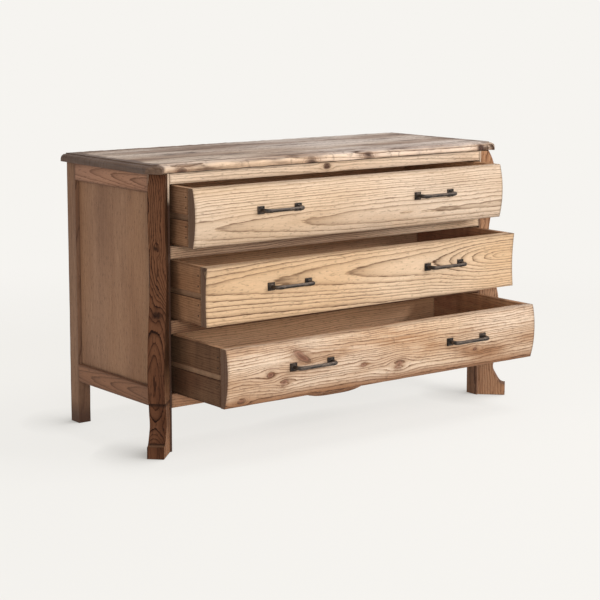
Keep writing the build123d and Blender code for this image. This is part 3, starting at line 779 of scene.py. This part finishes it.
pull_iron = iron("pull_iron", tone(50, 46, 44), tone(92, 81, 73), rough=0.3)
screw_steel = iron("screw_steel", tone(150, 146, 140), tone(120, 112, 104), rough=0.3)
screws = [node for node in nodes if node.endswith("screws")]
for node in screws:
    dress(node, screw_steel)
print(len(screws), "groups of screws finished")

# %% [markdown]
# ## Bow pulls
# Each pull is a forged bar whose ends turn back into the drawer. The ends are thicker than the grip
# and meet it in a small shoulder. A bar like this could be a curve with a round bevel, but a curve
# has one thickness; so half a pull is drawn as a smith would work it: a post, turned a quarter round
# by a spin, drawn thinner, pulled out to the middle, and then mirrored.


# %% Tools for modelling
def start_edit(thing):
    """Select one piece only and go into edit mode on it."""
    if bpy.context.object and bpy.context.object.mode == "EDIT":
        bpy.ops.object.mode_set(mode="OBJECT")
    bpy.ops.object.select_all(action="DESELECT")
    thing.select_set(True)
    bpy.context.view_layer.objects.active = thing
    bpy.ops.object.mode_set(mode="EDIT")


def pick_faces(thing, test):
    """In edit mode, select just the faces whose middle and normal pass the test."""
    bpy.ops.object.mode_set(mode="OBJECT")
    mesh = thing.data
    for group in (mesh.vertices, mesh.edges, mesh.polygons):
        for item in group:
            item.select = False
    for face in mesh.polygons:
        face.select = test(face.center, face.normal)
    bpy.ops.object.mode_set(mode="EDIT")
    bpy.ops.mesh.select_mode(type="FACE")


def put_in_mesh():
    """Put the active piece's place, turn and scale into its mesh."""
    bpy.ops.object.transform_apply(location=True, rotation=True, scale=True)


def settle():
    """Leave edit mode and put the piece's place into its mesh."""
    bpy.ops.object.mode_set(mode="OBJECT")
    put_in_mesh()


def draw_out(x):
    """Extrude what is selected along x."""
    bpy.ops.mesh.extrude_region_move(TRANSFORM_OT_translate={"value": (x, 0, 0)})


def apply_modifier(thing, kind, **settings):
    """Add a modifier to a piece and apply it."""
    modifier = thing.modifiers.new(kind.lower(), kind)
    for key, value in settings.items():
        setattr(modifier, key, value)
    bpy.context.view_layer.objects.active = thing
    bpy.ops.object.modifier_apply(modifier=modifier.name)


def ease(thing, width, segments, sharper_than):
    """Bevel the edges of a piece that are sharper than an angle in degrees."""
    apply_modifier(thing, "BEVEL", width=width, segments=segments, limit_method="ANGLE",
                   angle_limit=math.radians(sharper_than))


print("modelling tools ready")

# %% Forge half a pull
PULL_HALF = 0.064
PULL_REACH = 0.027
BEND = 0.0125
ELBOW = 0.0058
ELBOW_RUN = 0.006
SHOULDER = 0.0022
GRIP = 0.0050
QUARTER_TURN = math.radians(90)

post = PULL_REACH - BEND
bend_end = -PULL_HALF + BEND
grip_start = bend_end + ELBOW_RUN + SHOULDER
bpy.ops.object.select_all(action="DESELECT")
bpy.ops.mesh.primitive_cylinder_add(vertices=20, radius=ELBOW, depth=post,
                                    location=(-PULL_HALF, -post / 2, 0), rotation=(QUARTER_TURN, 0, 0))
pull = bpy.context.object
pull.name = "pull_pattern"
put_in_mesh()
start_edit(pull)
pick_faces(pull, lambda centre, normal: normal.y < -0.9)
bpy.ops.mesh.spin(steps=8, angle=QUARTER_TURN, center=(bend_end, -post, 0), axis=(0, 0, -1))
pick_faces(pull, lambda centre, normal: normal.x > 0.99 and centre.x > bend_end - 0.001)
draw_out(ELBOW_RUN)
draw_out(SHOULDER)
bpy.ops.transform.resize(value=(1, GRIP / ELBOW, GRIP / ELBOW), center_override=(0, -PULL_REACH, 0))
draw_out(-grip_start / 2)
draw_out(-grip_start / 2)
bpy.ops.mesh.delete(type="FACE")
settle()
spread = [vertex.co.x for vertex in pull.data.vertices]
print("half a pull from", min(spread), "to", max(spread))

# %% Mirror the pull and round its shoulders
apply_modifier(pull, "MIRROR", use_axis=(True, False, False), merge_threshold=0.0003)
start_edit(pull)
bpy.ops.mesh.select_all(action="SELECT")
bpy.ops.mesh.remove_doubles(threshold=0.0001)
bpy.ops.mesh.normals_make_consistent(inside=False)
settle()
ease(pull, width=0.0008, segments=2, sharper_than=24)
apply_modifier(pull, "SUBSURF", levels=1, render_levels=1)
bpy.ops.object.shade_smooth_by_angle(angle=math.radians(40))
print("pull", len(pull.data.polygons), "faces")

# %% [markdown]
# ## Plates
# Under each end of a pull sits a square plate with a sloping rim and a turned collar round the post.
# A flat cube would do from far off, but the rim catches the light. So the cube's face is inset, then
# inset again and pressed in a little, all edges are eased, and a collar is joined on.

# %% Shape one plate
PLATE = 0.022
PLATE_THICK = 0.004
RIM = 0.0022
SLOPE = 0.0008
SUNK = 0.0006
COLLAR = 0.0076
COLLAR_LONG = 0.003
COLLAR_MIDDLE = 0.0003


def join(pieces, name):
    """Join pieces into the first of them, under a name."""
    bpy.ops.object.select_all(action="DESELECT")
    for piece in pieces:
        piece.select_set(True)
    bpy.context.view_layer.objects.active = pieces[0]
    bpy.ops.object.join()
    pieces[0].name = name
    return pieces[0]


def in_middle(centre, normal):
    """Whether a face looks to the front from the middle of the plate."""
    return normal.y < -0.9 and abs(centre.x) < 0.001 and abs(centre.z) < 0.001


bpy.ops.object.select_all(action="DESELECT")
bpy.ops.mesh.primitive_cube_add(size=1, location=(0, PLATE_THICK / 2, 0))
plate = bpy.context.object
plate.scale = (PLATE, PLATE_THICK, PLATE)
put_in_mesh()
start_edit(plate)
pick_faces(plate, in_middle)
bpy.ops.mesh.inset(thickness=RIM, depth=0.0)
pick_faces(plate, in_middle)
bpy.ops.mesh.inset(thickness=SLOPE, depth=-SUNK)
settle()
ease(plate, width=0.0007, segments=3, sharper_than=24)
bpy.ops.mesh.primitive_cylinder_add(vertices=24, radius=COLLAR, depth=COLLAR_LONG,
                                    location=(0, COLLAR_MIDDLE, 0), rotation=(QUARTER_TURN, 0, 0))
collar = bpy.context.object
put_in_mesh()
ease(collar, width=0.0009, segments=3, sharper_than=40)
plate = join([plate, collar], "plate_pattern")
bpy.ops.object.shade_smooth_by_angle(angle=math.radians(35))
print("plate", len(plate.data.polygons), "faces")

# %% [markdown]
# ## Hanging the pulls
# One pull and one plate are enough as patterns. Each copy gets its own mesh and is moved inside that
# mesh, so its object stays at the origin as the CAD pieces' do. A pull sits where its CAD piece is
# screwed on, stands for that piece and rides on the drawer, so it follows when the drawer slides.


# %% Hang the pulls and plates on the drawers
def place_copy(pattern, name, place):
    """A copy with its own mesh, moved in the mesh so that the object stays at the origin."""
    copy = pattern.copy()
    copy.data = pattern.data.copy()
    copy.name = name
    copy.data.transform(Matrix.Translation(place))
    scene.collection.objects.link(copy)
    return copy


for number in "123":
    drawer = "drawer_" + number
    plates = []
    for hand in ("left", "right"):
        low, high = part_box(drawer + "_pull_" + hand)
        middle = (low + high) / 2
        seat = Vector((middle.x, high.y, middle.z))
        piece = place_copy(pull, drawer + "_bow_" + hand, seat)
        piece.data.materials.append(pull_iron)
        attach(piece, drawer)
        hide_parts(drawer + "_pull_" + hand)
        for end in (-PULL_HALF, PULL_HALF):
            plates.append(place_copy(plate, drawer + "_plate", seat + Vector((end, 0, 0))))
    joined = join(plates, drawer + "_plates")
    joined.data.materials.append(pull_iron)
    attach(joined, drawer)
    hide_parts(drawer + "_rosettes")
    print(drawer, "has two pulls and", len(plates), "plates")
bpy.data.objects.remove(pull)
bpy.data.objects.remove(plate)

# %% [markdown]
# ## Nails
# The drawer sides are nailed to the fronts and backs, and the round heads show on the outside. A head
# is a low cylinder, its rim bevelled and its top inset and raised a touch; it is pressed into the wood
# so that only half a millimetre stands out. A bump in the wood's material would be flat from the side.

# %% Make one nail head
HEAD = 0.0026
HEAD_THICK = 0.002

bpy.ops.object.select_all(action="DESELECT")
bpy.ops.mesh.primitive_cylinder_add(vertices=14, radius=HEAD, depth=HEAD_THICK,
                                    rotation=(0, QUARTER_TURN, 0))
nail = bpy.context.object
put_in_mesh()
start_edit(nail)
pick_faces(nail, lambda centre, normal: abs(normal.x) > 0.9)
bpy.ops.mesh.inset(thickness=0.0009, depth=0.0003, use_individual=True)
settle()
ease(nail, width=0.0003, segments=2, sharper_than=30)
bpy.ops.object.shade_smooth_by_angle(angle=math.radians(40))
print("nail head", len(nail.data.polygons), "faces")

# %% Drive the nails
SUNK_BY = 0.0005
FROM_FRONT = 0.011
FROM_BACK = 0.008
NAIL_HEIGHTS = (0.16, 0.34, 0.66, 0.84)

nail_iron = iron("nail_iron", tone(52, 42, 36), tone(92, 66, 48), rough=0.5)
for number in "123":
    drawer = "drawer_" + number
    heads = []
    for hand, inward in (("left", 1), ("right", -1)):
        low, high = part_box(drawer + "_side_" + hand)
        outside = low.x if hand == "left" else high.x
        for along_side in (low.y + FROM_FRONT, high.y - FROM_BACK):
            for share in NAIL_HEIGHTS:
                spot = (outside + inward * SUNK_BY, along_side, low.z + share * (high.z - low.z))
                heads.append(place_copy(nail, drawer + "_nail", spot))
    joined = join(heads, drawer + "_nails")
    joined.data.materials.append(nail_iron)
    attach(joined, drawer)
    print(drawer, "has", len(heads), "nails")
bpy.data.objects.remove(nail)

# %% [markdown]
# ## Worn boards
# The chest is made of old timber: its arrises are rubbed round, the moulded edge of the top is dented
# and no face is quite flat. A bump map can't change an outline, so the boards that show most get a
# copy with real wear. Each copy is cut across at short steps, which gives it points to move, its
# arrises are bevelled, and a soft cloud moves the points, nearly all of them inwards, so that no board
# grows into its neighbour.


# %% Wear one board
def worn_copy(node, body, axis, step, round_off, dent, size):
    """Copy of a CAD board, cut every step along an axis, with rubbed arrises and dents."""
    board = place_copy(nodes[node], node + "_worn", (0, 0, 0))
    start_edit(board)
    bpy.ops.mesh.select_all(action="SELECT")
    bpy.ops.mesh.remove_doubles(threshold=0.00001)
    bpy.ops.mesh.dissolve_limited(angle_limit=math.radians(0.5))
    low, high = reach(node, Vector(axis))
    cuts = int((high - low) / step)
    for cut in range(1, cuts):
        bpy.ops.mesh.select_all(action="SELECT")
        bpy.ops.mesh.bisect(plane_co=Vector(axis) * (low + (high - low) * cut / cuts), plane_no=axis)
    settle()
    if round_off:
        ease(board, width=round_off, segments=2, sharper_than=40)
    cloud = bpy.data.textures.new(node + "_dents", "CLOUDS")
    cloud.noise_scale = size
    apply_modifier(board, "DISPLACE", texture=cloud, texture_coords="LOCAL", strength=dent, mid_level=0.9)
    bpy.ops.object.shade_smooth_by_angle(angle=math.radians(24))
    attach(board, body)
    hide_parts(node)
    print(board.name, len(board.data.polygons), "faces")


worn_copy("top", "carcass", ALONG_X, step=0.012, round_off=0.0, dent=0.004, size=0.03)

# %% Wear the other boards that show
for node in ("front_top_rail", "front_rail_1", "front_rail_2"):
    worn_copy(node, "carcass", ALONG_X, step=0.03, round_off=0.0025, dent=0.0015, size=0.04)
for drawer in ("drawer_1", "drawer_2", "drawer_3"):
    worn_copy(drawer + "_front", drawer, ALONG_X,
              step=0.03, round_off=0.0018, dent=0.0015, size=0.05)
for hand in ("left", "right"):
    worn_copy("pilaster_" + hand, "carcass", UP,
              step=0.02, round_off=0.003, dent=0.003, size=0.04)
    worn_copy("rear_post_" + hand, "carcass", UP,
              step=0.04, round_off=0.002, dent=0.0015, size=0.05)
